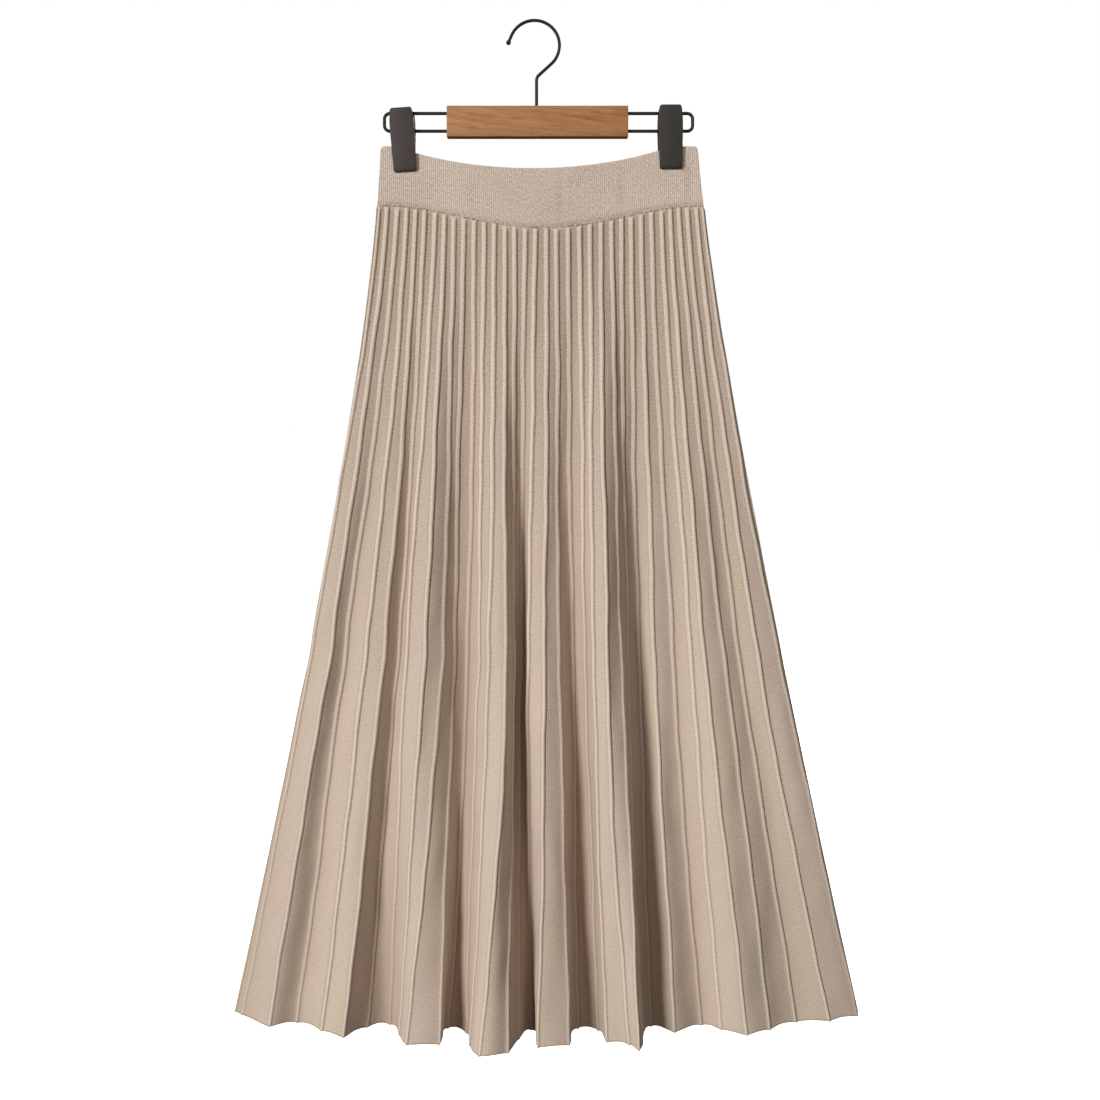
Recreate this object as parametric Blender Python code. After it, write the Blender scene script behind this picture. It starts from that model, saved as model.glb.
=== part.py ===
"""Pleated maxi skirt on a clip hanger. Metres, Z up, front faces -Y, origin at the hook's inner top."""
import math

import bmesh
import bpy
import numpy as np
from mathutils import Matrix, Vector

MM = 0.001
GAP = 0.3                      # clearance between pieces that touch, mm

# hook
WIRE_RADIUS = 1.6
HOOK_RADIUS = 25.0             # centre line of the bent wire
HOOK_CENTRE_Z = -23.4
STEM_X = 2.1
STEM_BOTTOM_Z = -103.0
BALL_RADIUS = 2.5

# bar and wire loops
BAR_LEFT, BAR_RIGHT = -87.5, 93.5
BAR_TOP_Z, BAR_BOTTOM_Z = -84.9, -115.9
BAR_THICK = 11.0
LOOP_RADIUS = 1.65
LOOP_UPPER_Z, LOOP_LOWER_Z = -91.5, -109.2
LOOP_LEFT_END, LOOP_RIGHT_END = -150.0, 158.1
LOOP_CORNER = 5.5
LOOP_DEPTH = 24.5              # how far each wire end sits inside the bar

# waistband
BAND_THICK = 3.0
BAND_LEFT_TOP, BAND_LEFT_SEAM = -153.5, -157.0
BAND_RIGHT_TOP, BAND_RIGHT_SEAM = 162.8, 169.0
BAND_TOP_Z, BAND_TOP_SAG = -124.9, 22.8
SEAM_Z, SEAM_SAG = -183.9, 22.5
BAND_OPEN = 5.0                # how far each side stands off the middle plane at the centre

# pleated body
CLOTH_THICK = 1.5
HEM_Z, HEM_SAG = -989.9, 8.5
CLEAR_TOP, CLEAR_HEM = 1.3, 5.5            # no crease comes nearer to the middle plane than this
SOFTEN = 0.5
TOP_OUT = 1.65
LEFT_FLARE, RIGHT_FLARE = 1.27, 1.165      # above 1 the flare grows faster towards the hem
DEPTH_FLARE = 1.55                         # and so do the depths of the folds
MIDDLE = 0.565                 # height of the middle columns below, 0 at the seam and 1 at the hem
RING_HEIGHTS = (0.0, 0.03, 0.07, 0.13, 0.2, 0.28, 0.36, 0.44, 0.51, 0.565, 0.63, 0.7, 0.77, 0.84, 0.92, 1.0)

# where the front and back meet at each side, mm across
SIDES = (
    dict(top=-157.2, mid=-227.0, hem=-299.5),
    dict(top=169.2, mid=248.0, hem=323.0),
)
# creases of the front, left to right: mm across at the seam, then mm across and mm out from the middle
# plane, halfway down and at the hem
CREASES = (
    dict(top=-155.2, mid=-225.0, mid_out=3.0, hem=-290.0, hem_out=4.0),
    dict(top=-147.4, mid=-205.0, mid_out=14.0, hem=-259.0, hem_out=27.0),
    dict(top=-136.8, mid=-190.0, mid_out=6.0, hem=-234.0, hem_out=16.0),
    dict(top=-127.4, mid=-168.0, mid_out=15.0, hem=-207.0, hem_out=30.0),
    dict(top=-118.5, mid=-150.0, mid_out=17.0, hem=-184.0, hem_out=42.0),
    dict(top=-109.7, mid=-137.0, mid_out=5.0, hem=-165.0, hem_out=20.0),
    dict(top=-99.0, mid=-127.0, mid_out=20.0, hem=-143.0, hem_out=13.0),
    dict(top=-89.7, mid=-109.0, mid_out=30.0, hem=-131.0, hem_out=34.0),
    dict(top=-80.5, mid=-92.0, mid_out=22.0, hem=-122.5, hem_out=53.0),
    dict(top=-70.5, mid=-81.0, mid_out=10.0, hem=-90.5, hem_out=50.0),
    dict(top=-60.0, mid=-67.0, mid_out=5.0, hem=-85.0, hem_out=17.0),
    dict(top=-50.0, mid=-56.0, mid_out=20.0, hem=-67.0, hem_out=27.0),
    dict(top=-39.9, mid=-45.0, mid_out=35.0, hem=-62.0, hem_out=50.0),
    dict(top=-29.4, mid=-28.0, mid_out=42.0, hem=-51.0, hem_out=71.0),
    dict(top=-19.9, mid=-21.0, mid_out=24.0, hem=-24.0, hem_out=65.0),
    dict(top=-9.2, mid=-14.0, mid_out=7.0, hem=-15.5, hem_out=38.0),
    dict(top=1.1, mid=-6.0, mid_out=22.0, hem=-4.0, hem_out=20.0),
    dict(top=12.0, mid=10.0, mid_out=33.0, hem=4.0, hem_out=54.0),
    dict(top=21.7, mid=25.0, mid_out=24.0, hem=35.0, hem_out=49.0),
    dict(top=33.4, mid=38.0, mid_out=8.0, hem=43.0, hem_out=16.0),
    dict(top=44.9, mid=51.0, mid_out=18.0, hem=63.0, hem_out=21.0),
    dict(top=55.3, mid=58.0, mid_out=34.0, hem=71.0, hem_out=45.0),
    dict(top=66.3, mid=71.0, mid_out=44.0, hem=91.0, hem_out=51.0),
    dict(top=76.7, mid=86.0, mid_out=34.0, hem=101.0, hem_out=62.0),
    dict(top=86.8, mid=92.0, mid_out=17.0, hem=105.0, hem_out=34.0),
    dict(top=96.3, mid=104.0, mid_out=6.0, hem=115.5, hem_out=14.0),
    dict(top=106.5, mid=119.5, mid_out=14.0, hem=137.0, hem_out=28.0),
    dict(top=116.5, mid=138.0, mid_out=9.0, hem=164.0, hem_out=14.0),
    dict(top=126.7, mid=155.5, mid_out=14.0, hem=182.0, hem_out=24.0),
    dict(top=135.4, mid=169.0, mid_out=21.0, hem=206.0, hem_out=37.0),
    dict(top=143.9, mid=189.0, mid_out=15.0, hem=231.0, hem_out=27.0),
    dict(top=152.2, mid=205.0, mid_out=8.0, hem=258.0, hem_out=15.0),
    dict(top=161.8, mid=223.0, mid_out=10.0, hem=290.0, hem_out=16.0),
    dict(top=167.6, mid=244.5, mid_out=6.0, hem=321.5, hem_out=8.0),
)

# clips, one row each: middle of the jaw where it crosses the loop, its lean in degrees,
# and the lean and sideways step of its back jaw
CLIPS = (
    dict(side="left", x=-132.2, top=-87.2, lean=4.0, back_lean=1.6, back_step=0.4),
    dict(side="right", x=135.6, top=-84.4, lean=0.6, back_lean=-0.4, back_step=0.0),
)
# a row per height of a jaw: distance below its top, half width, inner and outer distance from the middle
JAW_ROWS = (
    dict(below=0.0, half=8.4, inner=6.4, outer=7.6),
    dict(below=1.2, half=10.6, inner=6.0, outer=8.6),
    dict(below=3.5, half=11.3, inner=4.6, outer=8.6),
    dict(below=13.0, half=12.1, inner=4.3, outer=8.0),
    dict(below=24.0, half=12.2, inner=4.3, outer=7.6),
    dict(below=38.0, half=11.8, inner=3.6, outer=7.0),
    dict(below=59.0, half=11.4, inner=3.46, outer=6.6),
    dict(below=62.2, half=10.6, inner=3.46, outer=6.3),
    dict(below=63.2, half=9.0, inner=3.9, outer=5.4),
)
SPRING_RADIUS = 3.9
SPRING_HALF = 4.7
LUG_NEAR, LUG_FAR = 6.5, 9.4


def clear_scene():
    for obj in list(bpy.data.objects):
        bpy.data.objects.remove(obj, do_unlink=True)


def material(name, color, roughness, metallic=0.0):
    mat = bpy.data.materials.new(name)
    mat.use_nodes = True
    shader = mat.node_tree.nodes["Principled BSDF"]
    shader.inputs["Base Color"].default_value = (*color, 1.0)
    shader.inputs["Roughness"].default_value = roughness
    shader.inputs["Metallic"].default_value = metallic
    return mat


def mesh_object(name, verts, faces, mat, smooth=False):
    mesh = bpy.data.meshes.new(name)
    mesh.from_pydata([tuple(c * MM for c in v) for v in verts], [], faces)
    work = bmesh.new()
    work.from_mesh(mesh)
    bmesh.ops.recalc_face_normals(work, faces=work.faces)
    work.to_mesh(mesh)
    work.free()
    mesh.materials.append(mat)
    mesh.polygons.foreach_set("use_smooth", [smooth] * len(mesh.polygons))
    obj = bpy.data.objects.new(name, mesh)
    bpy.context.collection.objects.link(obj)
    return obj


def loft(rings, closed_ends=True):
    """Faces of a skin over rings of equal vertex count, with flat ends."""
    count = len(rings[0])
    verts = [v for ring in rings for v in ring]
    faces = []
    for r in range(len(rings) - 1):
        for i in range(count):
            j = (i + 1) % count
            faces.append((r * count + i, r * count + j, (r + 1) * count + j, (r + 1) * count + i))
    if closed_ends:
        faces.append(tuple(range(count))[::-1])
        faces.append(tuple((len(rings) - 1) * count + i for i in range(count)))
    return verts, faces


def sweep(path, radii, sides=12):
    """Rings of a round rod along a path that lies in the XZ plane."""
    rings = []
    for k, (x, z) in enumerate(path):
        a = path[max(0, k - 1)]
        b = path[min(len(path) - 1, k + 1)]
        along = Vector((b[0] - a[0], 0, b[1] - a[1])).normalized()
        across = Vector((along.z, 0, -along.x))
        ring = []
        for i in range(sides):
            turn = 2 * math.pi * i / sides
            off = across * math.cos(turn) * radii[k] + Vector((0, 1, 0)) * math.sin(turn) * radii[k]
            ring.append((x + off.x, off.y, z + off.z))
        rings.append(ring)
    return rings


def arc(centre, radius, start, stop, steps):
    """Points on a circle in the XZ plane, angles in degrees."""
    points = []
    for k in range(steps + 1):
        turn = math.radians(start + (stop - start) * k / steps)
        points.append((centre[0] + radius * math.cos(turn), centre[1] + radius * math.sin(turn)))
    return points


def cut(target, cutters):
    for cutter in cutters:
        cutter.hide_render = True
        cutter.display_type = "WIRE"
        mod = target.modifiers.new("cut", "BOOLEAN")
        mod.operation = "DIFFERENCE"
        mod.solver = "EXACT"
        mod.object = cutter


def join_solid(target, other):
    other.hide_render = True
    other.display_type = "WIRE"
    mod = target.modifiers.new("join", "BOOLEAN")
    mod.operation = "UNION"
    mod.solver = "EXACT"
    mod.object = other


def box(name, lo, hi, mat):
    corners = [(x, y, z) for x in (lo[0], hi[0]) for y in (lo[1], hi[1]) for z in (lo[2], hi[2])]
    faces = [(0, 1, 3, 2), (4, 6, 7, 5), (0, 4, 5, 1), (2, 3, 7, 6), (0, 2, 6, 4), (1, 5, 7, 3)]
    return mesh_object(name, corners, faces, mat)


def rod(name, start, stop, radius, mat, sides=20):
    a, b = Vector(start), Vector(stop)
    along = (b - a).normalized()
    side = along.orthogonal().normalized()
    other = along.cross(side)
    rings = []
    for end in (a, b):
        ring = []
        for i in range(sides):
            turn = 2 * math.pi * (i + 0.5) / sides
            ring.append(tuple(end + side * math.cos(turn) * radius + other * math.sin(turn) * radius))
        rings.append(ring)
    verts, faces = loft(rings)
    return mesh_object(name, verts, faces, mat, smooth=True)


def build_hook(mat):
    centre = (0.0, HOOK_CENTRE_Z)
    path = [(-25.7, -20.1), (-24.5, -17.2)] + arc(centre, HOOK_RADIUS, 157, -41, 26)
    bend_centre = (STEM_X + 7.0, -58.4)
    path += arc(bend_centre, 7.0, 131, 180, 5)
    path += [(STEM_X, -80.0), (STEM_X, STEM_BOTTOM_Z)]
    radii = [WIRE_RADIUS] * len(path)
    tip = Vector((-0.4, 0, -0.92)).normalized()
    ball = []
    for turn in (80, 55, 25, 0, -30, -50):
        rise = BALL_RADIUS * math.sin(math.radians(turn))
        ball.append(((-25.9 + tip.x * rise, -20.6 + tip.z * rise), BALL_RADIUS * math.cos(math.radians(turn))))
    path = [p for p, r in ball] + path[1:]
    radii = [r for p, r in ball] + radii[1:]
    verts, faces = loft(sweep(path, radii))
    return mesh_object("hanger_hook", verts, faces, mat, smooth=True)


def build_bar(mat):
    edge = 1.0
    half = BAR_THICK / 2
    section = [(-half, BAR_TOP_Z - edge), (-half + edge, BAR_TOP_Z), (half - edge, BAR_TOP_Z),
               (half, BAR_TOP_Z - edge), (half, BAR_BOTTOM_Z + edge), (half - edge, BAR_BOTTOM_Z),
               (-half + edge, BAR_BOTTOM_Z), (-half, BAR_BOTTOM_Z + edge)]
    rings = [[(x, y, z) for y, z in section] for x in (BAR_LEFT, BAR_RIGHT)]
    verts, faces = loft(rings)
    bar = mesh_object("hanger_bar", verts, faces, mat)
    hole = LOOP_RADIUS + GAP
    deep = LOOP_DEPTH + GAP
    cutters = [rod("cut_stem", (STEM_X, 0, STEM_BOTTOM_Z - GAP), (STEM_X, 0, BAR_TOP_Z + 5),
                   WIRE_RADIUS + GAP, mat)]
    for z in (LOOP_UPPER_Z, LOOP_LOWER_Z):
        cutters.append(rod("cut_wire", (BAR_LEFT - 5, 0, z), (BAR_LEFT + deep, 0, z), hole, mat))
        cutters.append(rod("cut_wire", (BAR_RIGHT - deep, 0, z), (BAR_RIGHT + 5, 0, z), hole, mat))
    cut(bar, cutters)
    return bar


def build_loop(name, inner_x, outer_x, mat):
    way = 1 if outer_x > inner_x else -1
    bend_x = outer_x - way * LOOP_CORNER
    upper = arc((bend_x, LOOP_UPPER_Z - LOOP_CORNER), LOOP_CORNER, 90, 0, 6)
    lower = arc((bend_x, LOOP_LOWER_Z + LOOP_CORNER), LOOP_CORNER, 0, -90, 6)
    if way < 0:
        upper = arc((bend_x, LOOP_UPPER_Z - LOOP_CORNER), LOOP_CORNER, 90, 180, 6)
        lower = arc((bend_x, LOOP_LOWER_Z + LOOP_CORNER), LOOP_CORNER, 180, 270, 6)
    path = [(inner_x, LOOP_UPPER_Z)] + upper + lower + [(inner_x, LOOP_LOWER_Z)]
    verts, faces = loft(sweep(path, [LOOP_RADIUS] * len(path)))
    return mesh_object(name, verts, faces, mat, smooth=True)


def jaw_ring(row, face):
    """Outline of a jaw at one height, softened on its outer edges; face is -1 for the front jaw."""
    half, inner, outer = row["half"], row["inner"], row["outer"]
    soft = min(1.4, (outer - inner) * 0.45)
    z = -row["below"]
    points = [(-half, inner + 0.3), (-half + 0.3, inner), (half - 0.3, inner), (half, inner + 0.3),
              (half, outer - soft), (half - soft, outer), (-half + soft, outer), (-half, outer - soft)]
    return [(x, face * y, z) for x, y in points]


def build_clip(clip, shell, metal):
    mid = (LOOP_UPPER_Z + LOOP_LOWER_Z) / 2 - clip["top"]
    lug_top = LOOP_UPPER_Z - LOOP_RADIUS - GAP - clip["top"]
    lug_low = LOOP_LOWER_Z + LOOP_RADIUS + GAP - clip["top"]
    for label, face, lean, step in (("front", -1, clip["lean"], 0.0),
                                    ("back", 1, clip["back_lean"], clip["back_step"])):
        name = f"clip_{clip['side']}_{label}"
        verts, faces = loft([jaw_ring(row, face) for row in JAW_ROWS])
        jaw = mesh_object(name, verts, faces, shell)
        for way in (-1, 1):
            near, far = sorted((way * LUG_NEAR, way * LUG_FAR))
            y0, y1 = sorted((face * 0.15, face * 6.0))
            lug = box(name + "_lug", (near, y0, lug_low), (far, y1, lug_top), shell)
            lug.matrix_world = jaw_place(clip, 0.0, step, mid)
            join_solid(jaw, lug)
        jaw.matrix_world = jaw_place(clip, lean, step, mid)
    spring = rod(f"clip_{clip['side']}_spring", (-SPRING_HALF, 0, mid), (SPRING_HALF, 0, mid),
                 SPRING_RADIUS, metal, 24)
    spring.matrix_world = jaw_place(clip, clip["lean"], 0.0, mid)


def jaw_place(clip, lean, step, mid):
    """Turn a jaw about the point where it crosses the wire loop."""
    pivot = Matrix.Translation((0, 0, mid * MM))
    place = Matrix.Translation(((clip["x"] + step) * MM, 0, clip["top"] * MM))
    return place @ pivot @ Matrix.Rotation(math.radians(-lean), 4, "Y") @ pivot.inverted()


def band_top(x):
    reach = (x + 1.5) / 139.0
    return BAND_TOP_Z - BAND_TOP_SAG * max(0.0, 1 - reach * reach)


def seam_line(x):
    reach = min(1.0, abs(x - 8.5) / 161.0)
    return SEAM_Z - SEAM_SAG * math.cos(math.pi / 2 * reach) ** 2


def stand_off(x):
    """How far the band and the top of the body bow away from the middle plane, zero at the clips."""
    reach = min(1.0, abs(x - 2.0) / 118.0)
    return BAND_OPEN * math.cos(math.pi / 2 * reach) ** 2


def build_band(name, face, mat):
    columns = 30
    rings = []
    for c in range(columns + 1):
        part = c / columns
        top_x = BAND_LEFT_TOP + (BAND_RIGHT_TOP - BAND_LEFT_TOP) * part
        seam_x = BAND_LEFT_SEAM + (BAND_RIGHT_SEAM - BAND_LEFT_SEAM) * part
        high = band_top(top_x)
        low = seam_line(seam_x) + GAP / 2
        trim = 1.1 if c in (0, columns) else 0.0
        inner = GAP / 2 + stand_off(top_x)
        outer = inner + BAND_THICK - trim
        ring = []
        for y, z in ((inner, low), (outer - 0.5, low), (outer, low + 0.8), (outer, (high + low) / 2),
                     (outer, high - 1.2 - trim), (outer - 0.8, high - 0.3 - trim), (inner + 0.9, high - trim),
                     (inner, high - 0.9 - trim), (inner, (high + low) / 2)):
            down = (high - z) / (high - low)
            ring.append((top_x + (seam_x - top_x) * down, face * y, z))
        rings.append(ring)
    verts, faces = loft(rings)
    return mesh_object(name, verts, faces, mat, smooth=False)


def back_creases():
    """The back hangs like the front turned round, its folds a little deeper and shallower by turns."""
    rows = []
    for k, row in enumerate(reversed(CREASES)):
        depth = 0.94 + 0.1 * math.sin(0.7 * k)
        turned = {name: SIDES[0][name] + SIDES[1][name] - row[name] for name in ("top", "mid", "hem")}
        rows.append(dict(turned, mid_out=row["mid_out"] * depth, hem_out=row["hem_out"] * depth))
    return rows


def follow(top, mid, hem, t, flare):
    """A crease's value at height t down the cloth, eased through those at the seam, middle and hem."""
    knee, down = MIDDLE ** flare, t ** flare
    upper, lower = (mid - top) / knee, (hem - mid) / (1 - knee)
    slope = 2 * upper * lower / (upper + lower) if upper * lower > 0 else 0.0
    if down < knee:
        a, b, da, db, start, reach = top, mid, 1.5 * upper - 0.5 * slope, slope, 0.0, knee
    else:
        a, b, da, db, start, reach = mid, hem, slope, 1.5 * lower - 0.5 * slope, knee, 1 - knee
    u = (down - start) / reach
    ends = a + (b - a) * u * u * (3 - 2 * u)
    return ends + reach * u * (1 - u) * (da * (1 - u) - db * u)


def crease_line(creases, t):
    """Creases of one half of the body at height t, 0 at the seam and 1 at the hem; mm, front towards -Y."""
    clear = CLEAR_TOP + (CLEAR_HEM - CLEAR_TOP) * t
    left, right = (follow(side["top"], side["mid"], side["hem"], t, flare)
                   for side, flare in zip(SIDES, (LEFT_FLARE, RIGHT_FLARE)))
    xs, outs = [left], [0.0]
    for k, row in enumerate(creases):
        flare = LEFT_FLARE + (RIGHT_FLARE - LEFT_FLARE) * k / len(creases)
        xs.append(follow(row["top"], row["mid"], row["hem"], t, flare))
        outs.append(follow(TOP_OUT + stand_off(row["top"]), row["mid_out"], row["hem_out"], t, DEPTH_FLARE))
    depth = (np.array([*outs, 0.0]) - clear) / SOFTEN
    return np.array([*xs, right]), -clear - SOFTEN * np.logaddexp(0.0, depth)


def wall_ring(creases, t):
    """Outline of the cloth's wall at height t: along one side of the creases and back along the other."""
    top_xs, hem_xs = crease_line(creases, 0.0)[0], crease_line(creases, 1.0)[0]
    xs, ys = crease_line(creases, t)
    half = CLOTH_THICK / 2
    run = np.stack([np.diff(xs), np.diff(ys)], 1)
    run /= np.linalg.norm(run, axis=1)[:, None]
    ys[0] = -(GAP / 2 + half * abs(run[0, 0]))
    ys[-1] = -(GAP / 2 + half * abs(run[-1, 0]))
    near, far = [], []
    for j in range(len(xs)):
        before = run[max(0, j - 1)]
        after = run[min(len(run) - 1, j)]
        normal = np.array([-before[1] - after[1], before[0] + after[0]])
        normal /= np.linalg.norm(normal)
        mitre = 1 / max(0.3, float(normal @ np.array([-after[1], after[0]])))
        left_turn = before[0] * after[1] - before[1] * after[0] > 0
        left_far = mitre if left_turn else min(mitre, 1.35)
        right_far = min(mitre, 1.35) if left_turn else mitre
        top_z = seam_line(top_xs[j]) - GAP / 2
        reach = (2 * hem_xs[j] - hem_xs[0] - hem_xs[-1]) / (hem_xs[-1] - hem_xs[0])
        z = top_z + (HEM_Z - HEM_SAG * (1 - reach * reach) - top_z) * t
        x = xs[j] + press_mark(xs[j], z)
        near.append((x - normal[0] * half * right_far, ys[j] - normal[1] * half * right_far, z))
        far.append((x + normal[0] * half * left_far, ys[j] + normal[1] * half * left_far, z))
    return near + far[::-1]


def press_mark(x, z):
    """The faint crossways fold left by packing pushes the pleats aside, most on the left."""
    share = min(1.0, max(0.0, (60.0 - x) / 220.0))
    return 1.6 * share * math.exp(-((z + 636.0) / 24.0) ** 2)


def build_body(name, creases, face, mat):
    rings = []
    for t in RING_HEIGHTS:
        rings.append([(x, -face * y, z) for x, y, z in wall_ring(creases, t)])
    verts, faces = loft(rings, closed_ends=False)
    count = len(rings[0])
    for base in (0, (len(rings) - 1) * count):
        for i in range(count // 2 - 1):
            faces.append((base + i, base + i + 1, base + count - 2 - i, base + count - 1 - i))
    return mesh_object(name, verts, faces, mat)


clear_scene()
steel = material("powder_coated_steel", (0.012, 0.012, 0.012), 0.45)
wood = material("bar_wood", (0.37, 0.18, 0.08), 0.55)
plastic = material("clip_plastic", (0.062, 0.056, 0.05), 0.5)
spring_steel = material("spring_steel", (0.45, 0.45, 0.45), 0.35, 1.0)
band_knit = material("band_knit", (0.54, 0.43, 0.35), 0.95)
pleat_knit = material("pleat_knit", (0.54, 0.43, 0.35), 0.95)

build_hook(steel)
build_bar(wood)
build_loop("wire_loop_left", BAR_LEFT + LOOP_DEPTH, LOOP_LEFT_END, steel)
build_loop("wire_loop_right", BAR_RIGHT - LOOP_DEPTH, LOOP_RIGHT_END, steel)
for row in CLIPS:
    build_clip(row, plastic, spring_steel)
build_band("waistband_front", -1, band_knit)
build_band("waistband_back", 1, band_knit)
build_body("skirt_front", CREASES, -1, pleat_knit)
build_body("skirt_back", back_creases(), 1, pleat_knit)
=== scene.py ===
import math

import bmesh
import bpy
import numpy as np
from mathutils import Matrix, Vector


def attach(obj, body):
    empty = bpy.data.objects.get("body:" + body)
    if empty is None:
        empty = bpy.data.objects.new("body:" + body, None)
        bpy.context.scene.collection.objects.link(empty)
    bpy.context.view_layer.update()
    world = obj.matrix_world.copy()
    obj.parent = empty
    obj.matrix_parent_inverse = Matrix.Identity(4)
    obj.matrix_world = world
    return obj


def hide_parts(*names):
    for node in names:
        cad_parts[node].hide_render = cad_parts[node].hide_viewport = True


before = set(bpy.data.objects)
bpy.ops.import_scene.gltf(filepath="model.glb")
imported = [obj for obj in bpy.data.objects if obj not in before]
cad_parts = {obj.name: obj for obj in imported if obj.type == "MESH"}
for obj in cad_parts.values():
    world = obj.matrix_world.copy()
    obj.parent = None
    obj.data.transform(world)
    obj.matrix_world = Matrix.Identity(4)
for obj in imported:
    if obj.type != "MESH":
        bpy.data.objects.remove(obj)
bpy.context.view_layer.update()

mm = 0.001


def colour(code):
    # sRGB hex to linear
    parts = [int(code[i:i + 2], 16) / 255 for i in (0, 2, 4)]
    return [p / 12.92 if p <= 0.04045 else ((p + 0.055) / 1.055) ** 2.4 for p in parts] + [1.0]


def addNode(mat, kind, inputs=None, stops=None, **settings):
    # a node with its settings, its values or links, and a colour ramp's stops
    node = mat.node_tree.nodes.new(kind)
    for name, value in settings.items():
        setattr(node, name, value)
    for name, value in (inputs or {}).items():
        if isinstance(value, bpy.types.NodeSocket):
            mat.node_tree.links.new(value, node.inputs[name])
        else:
            node.inputs[name].default_value = value
    for i, (place, value) in enumerate(stops or ()):
        spots = node.color_ramp.elements
        spot = spots[i] if i < len(spots) else spots.new(place)
        spot.position, spot.color = place, value
    return node


def attribute(mat, label):
    return addNode(mat, "ShaderNodeAttribute", attribute_name=label).outputs["Fac"]


def reckon(mat, operation, *values):
    return addNode(mat, "ShaderNodeMath", dict(enumerate(values)), operation=operation).outputs[0]


def rerange(mat, value, toLow, toHigh, fromLow=0.0, fromHigh=1.0):
    return addNode(mat, "ShaderNodeMapRange", {"Value": value, "From Min": fromLow, "From Max": fromHigh,
                                               "To Min": toLow, "To Max": toHigh}).outputs[0]


def ramp(mat, value, *stops):
    # stops are pairs of a place and a hex colour
    stops = [(place, colour(code)) for place, code in stops]
    return addNode(mat, "ShaderNodeValToRGB", {"Fac": value}, stops).outputs[0]


def mix(mat, share, first, second, kind="MIX"):
    return addNode(mat, "ShaderNodeMix", {0: share, 6: first, 7: second}, data_type="RGBA",
                   blend_type=kind).outputs[2]


def noise(mat, place, scale, detail=2.0, rough=0.5, distortion=0.0):
    return addNode(mat, "ShaderNodeTexNoise", {"Vector": place, "Scale": scale, "Detail": detail,
                                               "Roughness": rough, "Distortion": distortion}).outputs[0]


def ribs(mat, place, way, apartMm, distortion, detail, detailScale=1.0):
    # even bands; a wave node of scale 314 has them 1 mm apart
    return addNode(mat, "ShaderNodeTexWave", {"Vector": place, "Scale": 314.0 / apartMm,
                                              "Distortion": distortion, "Detail": detail,
                                              "Detail Scale": detailScale}, bands_direction=way).outputs[1]


def turnAndScale(mat, place, scale=(1.0, 1.0, 1.0), lean=0.0):
    return addNode(mat, "ShaderNodeMapping", {0: place, "Rotation": (0.0, math.radians(lean), 0.0),
                                              "Scale": scale}).outputs[0]


def objectPlace(mat):
    return addNode(mat, "ShaderNodeTexCoord").outputs["Object"]


def paint(mat, shader, tone, height=None, strength=0.0, depthMm=0.0):
    # the colour, and the relief where the surface has one
    mat.node_tree.links.new(tone, shader.inputs["Base Color"])
    if height is not None:
        relief = addNode(mat, "ShaderNodeBump", {"Height": height, "Strength": strength,
                                                 "Distance": depthMm * mm})
        mat.node_tree.links.new(relief.outputs[0], shader.inputs["Normal"])


def newMaterial(name):
    mat = bpy.data.materials.new(name)
    mat.use_nodes = True
    return mat, mat.node_tree.nodes["Principled BSDF"]


knit = {
    "light": "d3c4b4", "dark": "bfac9a",        # the two yarns of the marl
    "pink": "cfb9ac", "straw": "ccbca5",        # the slow drift of the dye
    "ridgeHighlight": "e6d9cb", "crease": "705a48",      # painted highlight on the raised line of a crease, and painted shade in the groove beside it
    "ground": "947f6e",                         # painted shade in the recesses between the ribs
    "inside": "a28776",                         # painted shade deep between the folds, tinted as cloth lit by cloth
    "courseMm": 2.1,                            # real courses are 0.8 mm, too fine to show here
    "waleMm": 1.9,
}


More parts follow.
